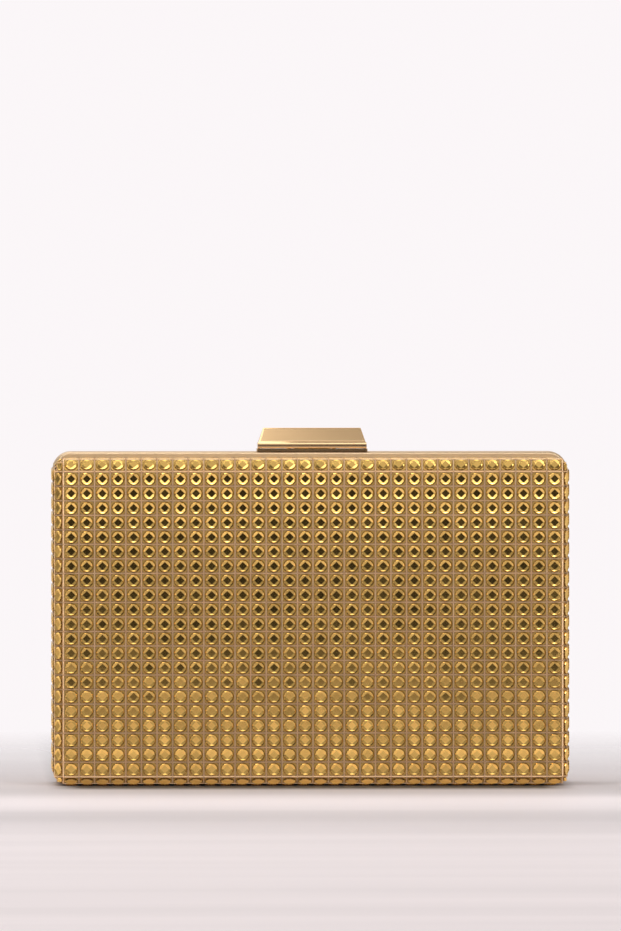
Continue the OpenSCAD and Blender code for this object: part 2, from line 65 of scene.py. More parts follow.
# Stones, seats, threads and corners: sides, and shares of a stone's height or a cell's width
STONE_SIDES = 12
GIRDLE_BASE = 0.28
GIRDLE_RISE = 0.42
TABLE_SLACK = 0.01
# Share of the rim's radius past which a stone's faces get the painted shade
SHADE_FROM = 0.96
SEAT_BASE = 0.2
SEAT_RISE = 0.22
SEAT_CORNER = 0.3
SEAT_DRAW = 0.97
CORNER_SHARE = 0.74
THREAD_SIDES = 8
THREAD_OVERLAP = 1.02
# Cloth, and the room between the sheet's slopes and the shell's cut edge
SHEET_T = 0.3 * MM
SHELL_ROOM = 0.35 * MM
PAD_T = 0.24 * MM
PAD_BASE = 0.25 * MM
PAD_RIM = 9 * MM
PAD_INSET = 1 * MM
PAD_GRID = (60, 38)
# Folds of the pad: how many, their waves in radians per metre, and how far they lean
CREASES = 4
CREASE_WAVES = (20, 60)
CREASE_LEAN = (-0.6, 0.6)
# Slip pocket: how its cloth rises from the lining, its rolled hem and its stitches
POCKET_GRID = (80, 44)
POCKET_ROOM = 0.2 * MM
POCKET_BACK = 0.35 * MM
POCKET_FRONT = 0.8 * MM
POCKET_RISE = 4 * MM
PUCKER = 0.14 * MM
PUCKER_WAVES = (95, 41)
HEM_SIDES = 16
HEM_R = 0.6 * MM
HEM_ROUND = 0.25 * MM
HEM_IN = 0.95 * MM
HEM_DROP = 0.75 * MM
HEM_SEAM = 1.9 * MM
STITCH_SIDES = 6
STITCH_R = 0.2 * MM
STITCH_L = 1.6 * MM
STITCH_TAPER = 0.25
STITCH_STEP = 2.4 * MM
STITCH_SINK = 0.17 * MM
# Clasp bar: outside, wall, and the heel cut away so that it can tip back over the plate's ears
FOOT_H = 1.9 * MM
FOOT_BEVEL = 0.4 * MM
BAR_WALL = 0.9 * MM
BAR_TOP_IN = 4 * MM
BAR_TOP_D = 3.2 * MM
PANEL_AREA = 30 * MM * MM
PANEL_FACING = 0.3
PANEL_STEP = 0.1 * MM
PANEL_DEPTH = 0.06 * MM
HEEL_LIFT = 1.3 * MM
HEEL_Y = 3.9 * MM
HEEL_SLOPE = 0.45
EAR_ROOM = 0.8
# Camera: the image, the size of a pixel at the bag, and the pixel where the bag's origin lies
IMAGE_W = 621
IMAGE_H = 931
PIXEL = 0.3490 * MM
ORIGIN_PX = (309.5, 783.6)
CAMERA_FAR = 6.0
CAMERA_YAW = math.radians(1.5)
CAMERA_RISE = math.radians(1.5)
CAMERA_AIM_Z = 0.062
# Floor: its width, and where it starts and ends along Y
FLOOR_W = 8
FLOOR_ENDS = (-2.4, 0.85)


def count_prop(name, description, value):
    return IntProperty(name=name, description=description, default=value)


def length_prop(name, description, value):
    return FloatProperty(name=name, description=description, default=value * MM, unit="LENGTH")


def share_prop(name, description, value):
    return FloatProperty(name=name, description=description, default=value, subtype="FACTOR")


def colour_prop(name, description, *value):
    return FloatVectorProperty(name=name, description=description, default=(*value, 1), size=4,
                               subtype="COLOR")


class ClutchSizes(bpy.types.PropertyGroup):
    """Sizes that a user would change"""
    stone_cols: count_prop("Stones across", "Stones in a row of the face", 32)
    stone_rows: count_prop("Stones down", "Stones in a column of the face", 21)
    side_rows: count_prop("Stones deep", "Stones along the depth of a side", 3)
    stone_h: length_prop("Stone height", "Height of a stone above the mesh", 1.0)
    edge: length_prop("Edge depth", "Depth of the slopes round the face", 2.2)
    top_edge: length_prop("Top edge", "Height of the slope above the face", 4.2)
    bottom_edge: length_prop("Bottom edge", "Height of the slope below the face", 2.2)
    left_edge: length_prop("Left edge", "Width of the slope left of the face", 2.85)
    right_edge: length_prop("Right edge", "Width of the slope right of the face", 1.55)
    corner: length_prop("Corner bevel", "Width of the bevel at a corner of the outline", 3.1)
    thread_w: length_prop("Thread width", "Width of the mesh threads between stones", 0.45)
    thread_lift: length_prop("Thread lift", "Height of the threads over the sheet", 0.36)
    pitch: length_prop("Largest pitch", "Cell width past which a stone grows no more", 5.14)
    stone_share: share_prop("Stone share", "Diameter of a stone over its cell", 0.885)
    table_share: share_prop("Table share", "Half diagonal of the table over the radius", 0.64)
    crown_share: share_prop("Crown share", "Radius of the stone's rim over its girdle", 0.86)
    wall_share: share_prop("Wall stones", "Height of the stones on the side walls", 0.95)
    top_share: share_prop("Top stones", "Height of the stones on the top wall", 0.45)
    dish: share_prop("Dish", "Depth of the table under the rim over the stone's height", 0.15)
    tilt: FloatProperty(name="Stone tilt", description="Largest tilt of a stone on its mesh",
                        default=math.radians(0.3), subtype="ANGLE")
    lining_round: length_prop("Lining corners", "Corner radius of the lining trays", 1.5)
    pad_lift: length_prop("Pad", "Swell of the padding on the lining's back", 0.3)
    hem: length_prop("Hem", "Width of the sewn hem round the slip pocket", 2.4)
    bar_round: length_prop("Bar edge", "Rounding of the clasp bar's edges", 0.16)
    panel_rim: length_prop("Panel rim", "Width of the polished rim round the bar's panels", 0.25)


class ClutchColours(bpy.types.PropertyGroup):
    """Colours that a user would change"""
    stone: colour_prop("Stone", "Gold of the cut stones", 0.80, 0.51, 0.145)
    seat: colour_prop("Seat", "Gold of the stone's square seat", 0.61, 0.39, 0.12)
    thread: colour_prop("Thread", "Champagne of the mesh threads", 0.88, 0.63, 0.37)
    backing: colour_prop("Backing", "Bronze cloth behind the stones", 0.26, 0.15, 0.07)
    plating: colour_prop("Plating", "Champagne gold of the frame", 0.545, 0.405, 0.26)
    bar: colour_prop("Bar", "Pale gold of the clasp bar", 0.80, 0.54, 0.29)
    steel: colour_prop("Steel", "Pins and springs", 0.60, 0.58, 0.55)
    satin: colour_prop("Satin", "Lining cloth", 0.62, 0.45, 0.26)
    shell: colour_prop("Shell", "Moulded shell", 0.30, 0.20, 0.10)
    floor: colour_prop("Floor", "Pale floor", 0.95, 0.865, 0.875)


def sizes():
    return bpy.context.scene.clutch_sizes


def colours():
    return bpy.context.scene.clutch_colours


# Mesh helpers

def clear_selection():
    if bpy.context.object and bpy.context.object.mode != "OBJECT":
        bpy.ops.object.mode_set(mode="OBJECT")
    bpy.ops.object.select_all(action="DESELECT")


def activate(piece):
    clear_selection()
    piece.select_set(True)
    bpy.context.view_layer.objects.active = piece


def edit(piece, select="DESELECT"):
    activate(piece)
    bpy.ops.object.mode_set(mode="EDIT")
    bpy.ops.mesh.select_mode(type="FACE")
    bpy.ops.mesh.select_all(action=select)


def pick(piece, part, wanted):
    """Selects, in edit mode, only those of the piece's faces or edges that are wanted"""
    bpy.ops.object.mode_set(mode="OBJECT")
    mesh = piece.data
    for items in (mesh.vertices, mesh.edges, mesh.polygons):
        items.foreach_set("select", [False] * len(items))
    for item in part:
        item.select = bool(wanted(item))
    bpy.ops.object.mode_set(mode="EDIT")


def pick_faces(piece, wanted):
    """Selects, in edit mode, the faces for which wanted(face) is true"""
    pick(piece, piece.data.polygons, wanted)


def pick_edges(piece, wanted):
    """Selects, in edit mode, the edges for which wanted(end, end) is true"""
    spots = piece.data.vertices
    pick(piece, piece.data.edges, lambda edge: wanted(*[spots[i].co for i in edge.vertices]))
    bpy.ops.mesh.select_mode(type="EDGE")


def draw_out(move, scale, **centre):
    """Extrudes the picked faces by a move and scales them"""
    bpy.ops.mesh.extrude_region_move(TRANSFORM_OT_translate={"value": move})
    bpy.ops.transform.resize(value=scale, **centre)


def done(piece, name, smooth=None):
    if bpy.context.object and bpy.context.object.mode != "OBJECT":
        bpy.ops.object.mode_set(mode="OBJECT")
    activate(piece)
    bpy.ops.object.transform_apply(location=True, rotation=True, scale=True)
    if smooth is not None:
        bpy.ops.object.shade_smooth_by_angle(angle=math.radians(smooth))
    piece.name = name
    piece.data.name = name
    return piece


def apply_modifier(piece, kind, **settings):
    activate(piece)
    modifier = piece.modifiers.new(kind.title(), kind)
    for key, value in settings.items():
        setattr(modifier, key, value)
    bpy.ops.object.modifier_apply(modifier=modifier.name)


def cube(lo, hi):
    """A box between two corners"""
    clear_selection()
    bpy.ops.mesh.primitive_cube_add(size=1, location=(Vector(lo) + Vector(hi)) / 2)
    piece = bpy.context.object
    piece.scale = Vector(hi) - Vector(lo)
    bpy.ops.object.transform_apply(location=True, rotation=True, scale=True)
    return piece


def rod(sides, radius, depth):
    """A round rod along X, through the origin"""
    clear_selection()
    bpy.ops.mesh.primitive_cylinder_add(vertices=sides, radius=radius, depth=depth,
                                        rotation=(0, math.radians(90), 0))
    bpy.ops.object.transform_apply(location=True, rotation=True, scale=True)
    return bpy.context.object


def upright_grid(cols, rows, width, height, place=(0, 0, 0)):
    """A flat grid in the XZ plane, round a place"""
    clear_selection()
    bpy.ops.mesh.primitive_grid_add(x_subdivisions=cols, y_subdivisions=rows, size=1,
                                    location=place, rotation=(math.radians(90), 0, 0))
    bpy.context.object.scale = (width, height, 1)
    bpy.ops.object.transform_apply(location=True, rotation=True, scale=True)
    return bpy.context.object


def copies(model, places, tones=None):
    """One mesh of copies of the model, one at each place, with a tone each where tones are given"""
    placed = []
    for number, place in enumerate(places):
        copy = model.copy()
        copy.data = model.data.copy()
        if tones:
            faces = copy.data.attributes.new("stone_tone", "FLOAT", "FACE").data
            faces.foreach_set("value", [tones[number]] * len(faces))
        copy.data.transform(place)
        bpy.context.collection.objects.link(copy)
        placed.append(copy)
    clear_selection()
    for copy in placed:
        copy.select_set(True)
    bpy.context.view_layer.objects.active = placed[0]
    bpy.ops.object.join()
    joined = bpy.context.object
    bpy.data.objects.remove(model)
    return joined


def finish_piece(piece, body, slot, material, *nodes):
    piece.data.materials.clear()
    piece.data.materials.append(material)
    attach(piece, body)
    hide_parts(*nodes)


# Shader helpers

def made_once(store, name):
    """Hands out the group or material of that name, and has it made where there is none yet"""
    def wrap(make):
        return lambda: getattr(bpy.data, store).get(name) or make(name)
    return wrap


def new_group(name, inputs, outputs):
    """A shader group, and its sockets: tuples as inputs, and outputs called Colour, are colours"""
    group = bpy.data.node_groups.new(name, "ShaderNodeTree")
    for label, value in inputs.items():
        kind = "NodeSocketColor" if isinstance(value, tuple) else "NodeSocketFloat"
        group.interface.new_socket(label, in_out="INPUT", socket_type=kind).default_value = value
    for label in outputs:
        kind = "NodeSocketColor" if label == "Colour" else "NodeSocketFloat"
        group.interface.new_socket(label, in_out="OUTPUT", socket_type=kind)
    given = group.nodes.new("NodeGroupInput").outputs
    return group, given, group.nodes.new("NodeGroupOutput").inputs


def feed(tree, sockets, sources):
    """Links or sets each named socket"""
    for key, source in sources.items():
        if isinstance(source, bpy.types.NodeSocket):
            tree.links.new(source, sockets[key])
        else:
            sockets[key].default_value = source


def add_node(tree, kind, sources=None, **settings):
    node = tree.nodes.new("ShaderNode" + kind)
    for key, value in settings.items():
        setattr(node, key, value)
    feed(tree, node.inputs, sources or {})
    return node


def maths(tree, operation, a, b=0.5):
    return add_node(tree, "Math", {0: a, 1: b}, operation=operation).outputs[0]


def tinted(tree, colour, factor):
    """A colour times a number"""
    return add_node(tree, "VectorMath", {0: colour, 1: factor}, operation="MULTIPLY").outputs[0]


def ranged(tree, value, start, end, low=0.0, high=1.0, **settings):
    """The value, stretched from one range to the other and held at its ends"""
    sources = {"Value": value, "From Min": start, "From Max": end, "To Min": low, "To Max": high}
    return add_node(tree, "MapRange", sources, **settings).outputs[0]


def noise(tree, place, scale, detail):
    sources = {"Vector": place, "Scale": scale, "Detail": detail}
    return add_node(tree, "TexNoise", sources).outputs[0]


def wave(tree, place, scale, direction, **settings):
    sources = {"Vector": place, "Scale": scale, **settings}
    return add_node(tree, "TexWave", sources, bands_direction=direction).outputs["Fac"]


def relief(tree, height, strength, distance):
    """A bump's normal"""
    sources = {"Height": height, "Strength": strength, "Distance": distance}
    return add_node(tree, "Bump", sources).outputs[0]


def on_object(tree):
    return add_node(tree, "TexCoord").outputs["Object"]


def attribute(tree, name):
    return add_node(tree, "Attribute", attribute_name=name).outputs["Fac"]


def grey_ramp(tree, value, steps, interpolation="LINEAR"):
    """A grey for each step of the value"""
    node = add_node(tree, "ValToRGB", {"Fac": value})
    node.color_ramp.interpolation = interpolation
    greys = node.color_ramp.elements
    for stop, (spot, level) in zip(list(greys), (steps[0], steps[-1])):
        stop.position, stop.color = spot, (level, level, level, 1)
    for spot, level in steps[1:-1]:
        greys.new(spot).color = (level, level, level, 1)
    return node.outputs[0]


def mix_colour(tree, factor, a, b):
    return add_node(tree, "Mix", {0: factor, 6: a, 7: b}, data_type="RGBA").outputs[2]


def scaled(colour, factor):
    return tuple(min(1, c * factor) for c in colour[:3]) + (1,)


def place_group(tree, group, **sources):
    node = tree.nodes.new("ShaderNodeGroup")
    node.node_tree = group
    feed(tree, node.inputs, sources)
    return node.outputs


@made_once("node_groups", "Tone Drift")
def tone_group(name):
    """Slow change of tone over a surface, as plating and dye have"""
    group, given, out = new_group(name, {"Colour": (1, 1, 1, 1), "Scale": 40, "Amount": 0.12},
                                  ["Colour"])
    drift = noise(group, on_object(group), given["Scale"], 3)
    swing = maths(group, "MULTIPLY", maths(group, "SUBTRACT", drift, 0.5), given["Amount"])
    factor = maths(group, "ADD", maths(group, "MULTIPLY", swing, 2.0), 1.0)
    feed(group, out, {"Colour": tinted(group, given["Colour"], factor)})
    return group


@made_once("node_groups", "Fine Scratches")
def scratch_group(name):
    """Fine lines along X and a haze of handling, as roughness and height"""
    group, given, out = new_group(name, {"Roughness": 0.2, "Spread": 0.1, "Scale": 1500},
                                  ["Roughness", "Height"])
    place = on_object(group)
    stretch = add_node(group, "Mapping", {"Vector": place, "Scale": (0.02, 1.0, 1.0)}).outputs[0]
    lines = noise(group, stretch, given["Scale"], 4)
    both = maths(group, "MULTIPLY", lines, noise(group, place, 60.0, 5))
    rough = maths(group, "ADD", maths(group, "MULTIPLY", both, given["Spread"]), given["Roughness"])
    feed(group, out, {"Roughness": rough, "Height": lines})
    return group


@made_once("node_groups", "Hollow Dust")
def hollow_shade_group(name):
    """Mask of painted shade in the hollows between raised parts, from ambient occlusion"""
    group, given, out = new_group(name, {"Reach": 0.0006}, ["Mask"])
    open_sky = add_node(group, "AmbientOcclusion", {"Distance": given["Reach"]}, samples=4)
    feed(group, out, {"Mask": maths(group, "SUBTRACT", 1.0, open_sky.outputs["AO"])})
    return group


def new_material(name, metallic, roughness):
    material = bpy.data.materials.new(name)
    material.use_nodes = True
    shader = material.node_tree.nodes["Principled BSDF"].inputs
    feed(material.node_tree, shader, {"Metallic": metallic, "Roughness": roughness})
    return material, material.node_tree, shader


def metal(name, tint, roughness, spread, bump, drift=0.08):
    """Plated metal: tone that drifts, and fine scratches"""
    material = bpy.data.materials.get(name)
    if material:
        return material
    material, tree, shader = new_material(name, 1.0, roughness)
    tone = place_group(tree, tone_group(), Colour=tuple(tint), Scale=35.0, Amount=drift)
    lines = place_group(tree, scratch_group(), Roughness=roughness, Spread=spread, Scale=1500.0)
    feed(tree, shader, {"Base Color": tone["Colour"], "Roughness": lines["Roughness"],
                        "Normal": relief(tree, lines["Height"], bump, 0.00002)})
    return material


@made_once("materials", "cut_gold_stone")
def stone_material(name):
    """Metal-backed cut stone: deep gold, each stone a little different, with painted shade on its
    outer slopes
    """
    material, tree, shader = new_material(name, 1.0, 0.10)
    factor = ranged(tree, attribute(tree, "stone_tone"), 0.0, 1.0, 0.86, 1.10)
    shade = tinted(tree, tuple(colours().stone)[:3], factor)
    # Painted shade: the stone's outer slopes are mixed towards a dark brown
    shaded_slopes = mix_colour(tree, attribute(tree, "stone_slope_shade"), shade, (0.24, 0.12, 0.03, 1))
    drift = place_group(tree, tone_group(), Colour=shaded_slopes, Scale=18.0, Amount=0.06)
    lines = place_group(tree, scratch_group(), Roughness=0.05, Spread=0.1, Scale=2500.0)
    feed(tree, shader, {"Base Color": drift["Colour"], "Roughness": lines["Roughness"]})
    return material


@made_once("materials", "stone_seat_gold")
def seat_material(name):
    """Satin gold of the seats, with painted shade in its hollows"""
    material, tree, shader = new_material(name, 1.0, 0.36)
    tone = place_group(tree, tone_group(), Colour=tuple(colours().seat), Scale=120.0, Amount=0.2)
    hollow_shade = place_group(tree, hollow_shade_group(), Reach=0.0009)
    # Painted shade: the hollows round each seat and stitch are mixed towards a dark brown
    feed(tree, shader, {"Base Color": mix_colour(tree, hollow_shade["Mask"], tone["Colour"],
                                                 (0.24, 0.13, 0.035, 1))})
    return material


@made_once("materials", "champagne_thread")
def thread_material(name):
    """Champagne thread with its twist"""
    material, tree, shader = new_material(name, 0.0, 0.45)
    twist = wave(tree, on_object(tree), 900.0, "DIAGONAL", Distortion=3.0, Detail=2.0)
    tone = mix_colour(tree, twist, scaled(colours().thread, 0.75), tuple(colours().thread))
    drift = place_group(tree, tone_group(), Colour=tone, Scale=90.0, Amount=0.2)
    feed(tree, shader, {"Base Color": drift["Colour"], "Normal": relief(tree, twist, 0.35, 0.0001)})
    return material


@made_once("materials", "bronze_backing")
def backing_material(name):
    """Bronze knit that backs the mesh"""
    material, tree, shader = new_material(name, 0.0, 0.7)
    cells = add_node(tree, "TexVoronoi", {"Vector": on_object(tree), "Scale": 2600.0})
    knit = cells.outputs["Distance"]
    tone = mix_colour(tree, knit, tuple(colours().backing), scaled(colours().backing, 1.8))
    feed(tree, shader, {"Base Color": tone, "Normal": relief(tree, knit, 0.5, 0.0001)})
    return material


@made_once("materials", "lining_satin")
def satin_material(name):
    """Woven satin: fine weave in bump, soft folds of tone and a sheen"""
    material, tree, shader = new_material(name, 0.0, 0.42)
    place = on_object(tree)
    weave = maths(tree, "MULTIPLY", wave(tree, place, 1400.0, "X", Distortion=0.6),
                  wave(tree, place, 900.0, "Z", Distortion=0.6))
    drift = place_group(tree, tone_group(), Colour=tuple(colours().satin), Scale=22.0, Amount=0.22)
    tone = mix_colour(tree, weave, drift["Colour"], scaled(colours().satin, 1.25))
    feed(tree, shader, {"Base Color": tone, "Normal": relief(tree, weave, 0.35, 0.00008),
                        "Sheen Weight": 0.7, "Sheen Roughness": 0.3, "Coat Weight": 0.15})
    return material


@made_once("materials", "moulded_shell")
def shell_material(name):
    """Grained board of the moulded shells"""
    material, tree, shader = new_material(name, 0.0, 0.55)
    grain = noise(tree, on_object(tree), 1800.0, 3.0)
    tone = place_group(tree, tone_group(), Colour=tuple(colours().shell), Scale=30.0, Amount=0.15)
    feed(tree, shader, {"Base Color": tone["Colour"], "Normal": relief(tree, grain, 0.3, 0.00005)})
    return material


def frame_metal():
    return metal("champagne_plating", colours().plating, 0.4, 0.2, 0.12)


def bar_brushed():
    return metal("brushed_bar_gold", colours().bar, 0.28, 0.1, 0.1)


def bar_polished():
    return metal("polished_bar_gold", colours().bar, 0.08, 0.06, 0.03)


# Painted shade: a darker copy of the bar's gold, for its foot and the base plates
def shaded_foot_metal():
    return metal("shaded_bar_foot", scaled(colours().bar, 0.85), 0.15, 0.1, 0.05)


def pin_metal():
    return metal("bright_steel", colours().steel, 0.2, 0.2, 0.2, drift=0.04)


# Stone grid

def patch(centre, across, up, cols, rows):
    """The cells of a flat patch: the middle, and the vectors over one cell"""
    step_u = across / cols
    step_v = up / rows
    start = centre - across / 2 - up / 2 + step_u / 2 + step_v / 2
    return [(start + step_u * i + step_v * j, step_u, step_v)
            for j in range(rows) for i in range(cols)]


def half_box(half):
    """The sheet of one half, on which the cells lie: its walls, its face and the face's outline"""
    s = sizes()
    lo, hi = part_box(half + "_stone_cover")
    near, deep = sorted((abs(lo.y), abs(hi.y)))
    wall_lo = Vector((lo.x + s.stone_h, lo.z + s.stone_h))
    wall_hi = Vector((hi.x - s.stone_h, hi.z - s.stone_h))
    face_lo = wall_lo + Vector((s.left_edge, s.bottom_edge))
    face_hi = wall_hi - Vector((s.right_edge, s.top_edge))
    return near, deep - s.stone_h, wall_lo, wall_hi, face_lo, face_hi


def half_cells(half):
    """Every cell of one half: its face, the slopes round it, the walls and the corners"""
    s = sizes()
    near, deep, wall_lo, wall_hi, face_lo, face_hi = half_box(half)
    k = s.corner
    wall = deep - s.edge - near
    out = Vector((0, HALVES[half], 0))
    face_mid = (face_lo + face_hi) / 2
    face_size = face_hi - face_lo
    wall_mid = (wall_lo + wall_hi) / 2
    wall_size = wall_hi - wall_lo
    across = Vector((1, 0, 0))
    up = Vector((0, 0, 1))
    middle = across * face_mid.x + up * face_mid.y
    cells = patch(out * deep + middle, across * face_size.x, up * face_size.y,
                  s.stone_cols, s.stone_rows)
    wall_y = out * (near + wall / 2)
    edge_y = out * (deep - s.edge / 2)
    for x_wall, x_face in ((wall_lo.x, face_lo.x), (wall_hi.x, face_hi.x)):
        slope = across * (x_face - x_wall) + out * s.edge
        cells += patch(across * (x_wall + x_face) / 2 + edge_y + up * face_mid.y, slope,
                       up * face_size.y, 1, s.stone_rows)
        cells += patch(across * x_wall + wall_y + up * wall_mid.y, out * wall,
                       up * (wall_size.y - 2 * k), s.side_rows, s.stone_rows)
    for z_wall, z_face in ((wall_lo.y, face_lo.y), (wall_hi.y, face_hi.y)):
        slope = up * (z_face - z_wall) + out * s.edge
        cells += patch(across * face_mid.x + edge_y + up * (z_wall + z_face) / 2,
                       across * face_size.x, slope, s.stone_cols, 1)
        cells += patch(across * wall_mid.x + wall_y + up * z_wall, across * (wall_size.x - 2 * k),
                       out * wall, s.stone_cols, s.side_rows)
        for x_wall, x_face in ((wall_lo.x, face_lo.x), (wall_hi.x, face_hi.x)):
            wide = math.copysign(k, x_wall)
            tall = math.copysign(k, z_wall - wall_mid.y)
            chamfer = up * tall - across * wide
            rim = across * (x_wall - wide / 2) + up * (z_wall - tall / 2)
            cells += patch(rim + wall_y, out * wall, chamfer, s.side_rows, 1)
            u = (across * (x_wall - x_face) - out * s.edge / 2) * CORNER_SHARE
            v = (up * (z_wall - z_face) - out * s.edge / 2) * CORNER_SHARE
            cells.append((across * x_face + up * z_face + out * deep + (u + v) / 2, u, v))
    core = across * wall_mid.x + up * wall_mid.y + out * near
    spread = Vector((1 / wall_size.x, 0.5 / deep, 1 / wall_size.y))
    return [turned_out(cell, core, spread) for cell in cells]


def turned_out(cell, core, spread):
    """Turns a cell's vectors over where its normal points into the bag"""
    middle, u, v = cell
    if u.cross(v).dot((middle - core) * spread) < 0:
        u = -u
    return middle, u, v


def cell_matrix(cell, pitch):
    """Puts a model drawn round the origin, +Z out, onto a cell, stretched to the cell's size"""
    middle, u, v = cell
    normal = u.cross(v).normalized()
    return Matrix.Translation(middle) @ Matrix((u / pitch, v / pitch, normal)).transposed().to_4x4()


def stone_matrix(cell, dice):
    """Puts the stone model, one unit wide, onto a cell with a little tilt of its own"""
    s = sizes()
    middle, u, v = cell
    widths = [min(side.length, s.pitch) * s.stone_share for side in (u, v)]
    normal = u.cross(v).normalized()
    height = s.top_share if normal.z > FACING else s.wall_share if abs(normal.x) > FACING else 1
    basis = Matrix((u.normalized(), v.normalized(), normal)).transposed().to_4x4()
    turn = Matrix.Rotation(dice.uniform(-s.tilt, s.tilt), 4, "X")
    turn = turn @ Matrix.Rotation(dice.uniform(-s.tilt, s.tilt), 4, "Y")
    return Matrix.Translation(middle) @ basis @ turn @ Matrix.Diagonal((*widths, height, 1))


def cut_stone(height):
    """One stone: a twelve-sided girdle, a crown, and a dished ring of facets round its table"""
    s = sizes()
    radius = 0.5
    clear_selection()
    bpy.ops.mesh.primitive_circle_add(vertices=STONE_SIDES, radius=radius, fill_type="NGON",
                                      location=(0, 0, height * GIRDLE_BASE))
    stone = bpy.context.object
    bpy.ops.object.transform_apply(location=True, rotation=True, scale=True)
    edit(stone, "SELECT")
    for rise, share in ((GIRDLE_RISE, 1.0), (1 - GIRDLE_BASE - GIRDLE_RISE, s.crown_share),
                        (-s.dish, s.table_share / s.crown_share)):
        draw_out((0, 0, height * rise), (share, share, 1))
    bpy.ops.object.mode_set(mode="OBJECT")
    table_r = radius * s.table_share
    table_z = height * (1 - s.dish)
    for v in stone.data.vertices:
        inside = math.hypot(v.co.x, v.co.y) < table_r * (1 + TABLE_SLACK)
        if inside and abs(v.co.z - table_z) < height * TABLE_SLACK:
            angle = math.atan2(v.co.y, v.co.x)
            reach = table_r / (abs(math.cos(angle)) + abs(math.sin(angle)))
            v.co.x = reach * math.cos(angle)
            v.co.y = reach * math.sin(angle)
    edit(stone, "SELECT")
    bpy.ops.mesh.quads_convert_to_tris(quad_method="SHORTEST_DIAGONAL")
    stone = done(stone, "stone_model")
    # Faces past this radius are marked for the painted shade of the outer slopes
    shade_from_r = radius * (s.crown_share + 1) / 2 * SHADE_FROM
    slopes = [float(math.hypot(f.center.x, f.center.y) > shade_from_r) for f in stone.data.polygons]
    stone.data.attributes.new("stone_slope_shade", "FLOAT", "FACE").data.foreach_set("value", slopes)
    return stone


def seat_model(pitch, height):
    """Square metal cup under a stone, drawn in at its corners"""
    half = (pitch - sizes().thread_w) / 2
    seat = cube((-half, -half, 0), (half, half, height * SEAT_BASE))
    edit(seat)
    pick_edges(seat, lambda p, q: abs(p.z - q.z) > height * SEAT_BASE / 2)
    bpy.ops.mesh.bevel(offset=half * SEAT_CORNER, segments=1, offset_type="OFFSET")
    pick_faces(seat, lambda f: f.normal.z > FACING)
    draw_out((0, 0, height * SEAT_RISE), (SEAT_DRAW, SEAT_DRAW, 1))
    return done(seat, "seat_model")


def thread_model(pitch):
    """Half-round thread along one edge of a cell"""
    s = sizes()
    thread = rod(THREAD_SIDES, s.thread_w / 2, pitch * THREAD_OVERLAP)
    edit(thread, "SELECT")
    bpy.ops.mesh.bisect(plane_co=(0, 0, 0), plane_no=(0, 0, 1), clear_inner=True)
    bpy.ops.transform.translate(value=(0, 0, s.thread_lift))
    return done(thread, "thread_model", smooth=60)


def mesh_sheet(half):
    """Cloth sheet under the stones: an open tray with sloped edges and bevelled corners"""
    s = sizes()
    side = HALVES[half]
    near, deep, wall_lo, wall_hi, face_lo, face_hi = half_box(half)
    ys = sorted((side * near, side * (deep - s.edge)))
    sheet = cube((wall_lo.x, ys[0], wall_lo.y), (wall_hi.x, ys[1], wall_hi.y))
    edit(sheet)
    pick_faces(sheet, lambda f: f.normal.y * side < -FACING)
    bpy.ops.mesh.delete(type="FACE")
    pick_faces(sheet, lambda f: f.normal.y * side > FACING)
    share_x, share_z = [(face_hi[i] - face_lo[i]) / (wall_hi[i] - wall_lo[i]) for i in (0, 1)]
    draw_out((0, side * s.edge, 0), (share_x, 1, share_z))
    move = (face_lo + face_hi - wall_lo - wall_hi) / 2
    bpy.ops.transform.translate(value=(move.x, 0, move.y))
    pick_edges(sheet, lambda p, q: abs(p.y - q.y) > s.edge / 2)
    bpy.ops.mesh.bevel(offset=s.corner, segments=1, offset_type="OFFSET")
    bpy.ops.object.mode_set(mode="OBJECT")
    apply_modifier(sheet, "SOLIDIFY", thickness=SHEET_T, offset=-1.0)
    return done(sheet, half + "_mesh_sheet", smooth=30)


def trimmed_shell(half):
    """The moulded shell with its edges cut back along the slopes of the sheet"""
    s = sizes()
    out = Vector((0, HALVES[half], 0))
    deep, wall_lo, wall_hi = half_box(half)[1:4]
    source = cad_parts[half + "_shell"]
    shell = source.copy()
    shell.data = source.data.copy()
    bpy.context.collection.objects.link(shell)
    edit(shell, "SELECT")
    bpy.ops.mesh.remove_doubles(threshold=MM / 1000)
    slopes = ((Vector((1, 0, 0)), wall_lo.x, s.left_edge),
              (Vector((-1, 0, 0)), -wall_hi.x, s.right_edge),
              (Vector((0, 0, 1)), wall_lo.y, s.bottom_edge),
              (Vector((0, 0, -1)), -wall_hi.y, s.top_edge))
    for inward, start, width in slopes:
        normal = (out * width - inward * s.edge).normalized()
        corner = inward * (start + width) + out * deep
        bpy.ops.mesh.select_all(action="SELECT")
        bpy.ops.mesh.bisect(plane_co=corner - normal * SHELL_ROOM, plane_no=normal, use_fill=True,
                            clear_outer=True)
    bpy.ops.object.mode_set(mode="OBJECT")
    return done(shell, half + "_moulded_shell")


